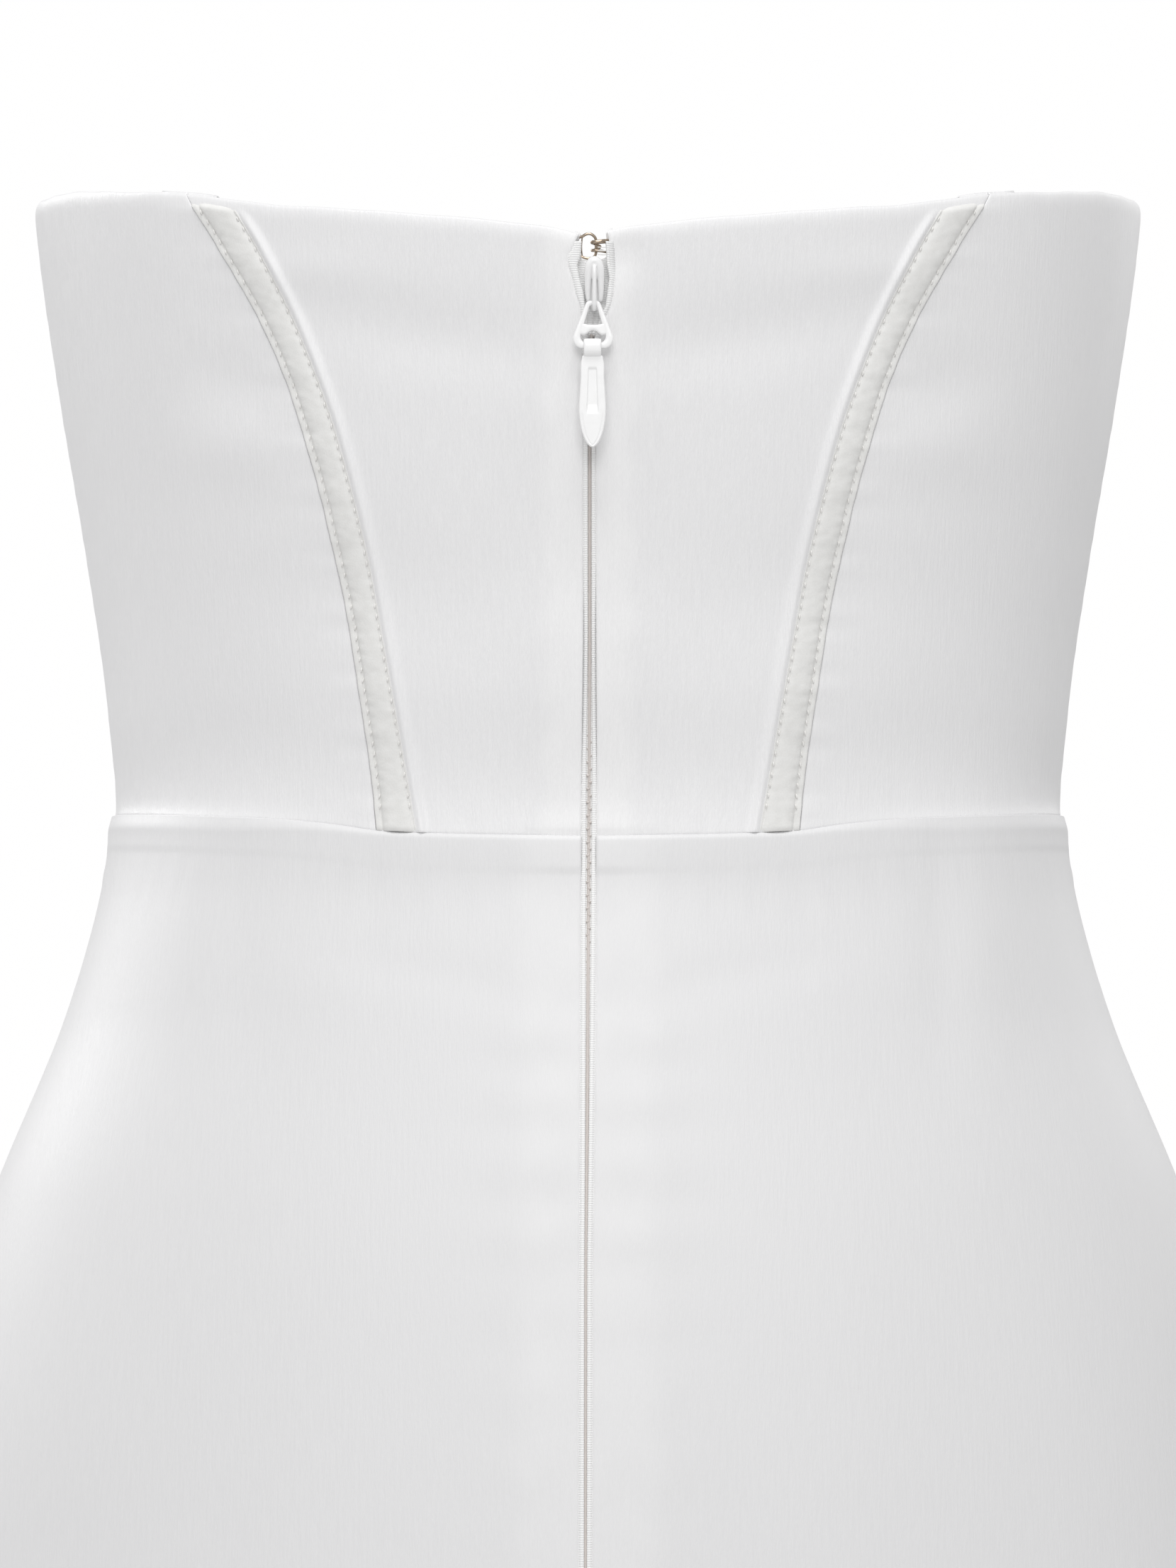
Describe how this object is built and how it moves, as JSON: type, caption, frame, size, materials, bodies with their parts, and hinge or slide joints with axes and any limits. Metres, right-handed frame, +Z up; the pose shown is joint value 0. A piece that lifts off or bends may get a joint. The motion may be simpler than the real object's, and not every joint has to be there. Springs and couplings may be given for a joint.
{
  "type": "strapless corset gown",
  "caption": "Strapless floor-length corset gown in white satin, hollow as worn, with boned back panels and a back zip with a swinging pull.",
  "frame": {"origin": "centre of the waist, level with the waist seam near the sides, where the wearer's waist holds the gown up", "axes": "+Z up, -Y out of the front, +Y out of the back with the zip, +X to the wearer's left"},
  "size_m": [0.6292, 0.5013, 1.2363],
  "materials": {
    "satin": "heavy white satin with a soft sheen and a fine upright grain",
    "channel_twill": "matt off-white casing cloth",
    "zip_tape": "ribbed white zip tape",
    "lacquered_metal": "smooth white lacquer",
    "fastener_wire": "pale gold plated wire"
  },
  "bodies": {
    "gown": {"bodice_centre_back_left": "satin", "bodice_centre_back_right": "satin", "bodice_side_back_left": "satin", "bodice_side_back_right": "satin", "bodice_side_front_left": "satin", "bodice_side_front_right": "satin", "bodice_centre_front": "satin", "skirt_back_left": "satin", "skirt_back_right": "satin", "skirt_front": "satin", "boning_channel_left": "channel_twill", "boning_channel_right": "channel_twill", "zip_tape_left": "zip_tape", "zip_tape_right": "zip_tape", "zip_slider": "lacquered_metal", "hook": "fastener_wire", "eye": "fastener_wire"},
    "pull_link": {"zip_pull_link": "lacquered_metal"},
    "pull_tab": {"zip_pull_tab": "lacquered_metal"}
  },
  "joints": [
    {"name": "link_swing", "type": "hinge", "parent": "gown", "child": "pull_link", "pos_m": [-0.0012, 0.09566, 0.11833], "axis": [1, 0, 0], "range_deg": [0, 140]},
    {"name": "tab_swing", "type": "hinge", "parent": "pull_link", "child": "pull_tab", "pos_m": [-0.00105, 0.09566, 0.10818], "axis": [1, 0, 0], "range_deg": [0, 40]}
  ]
}
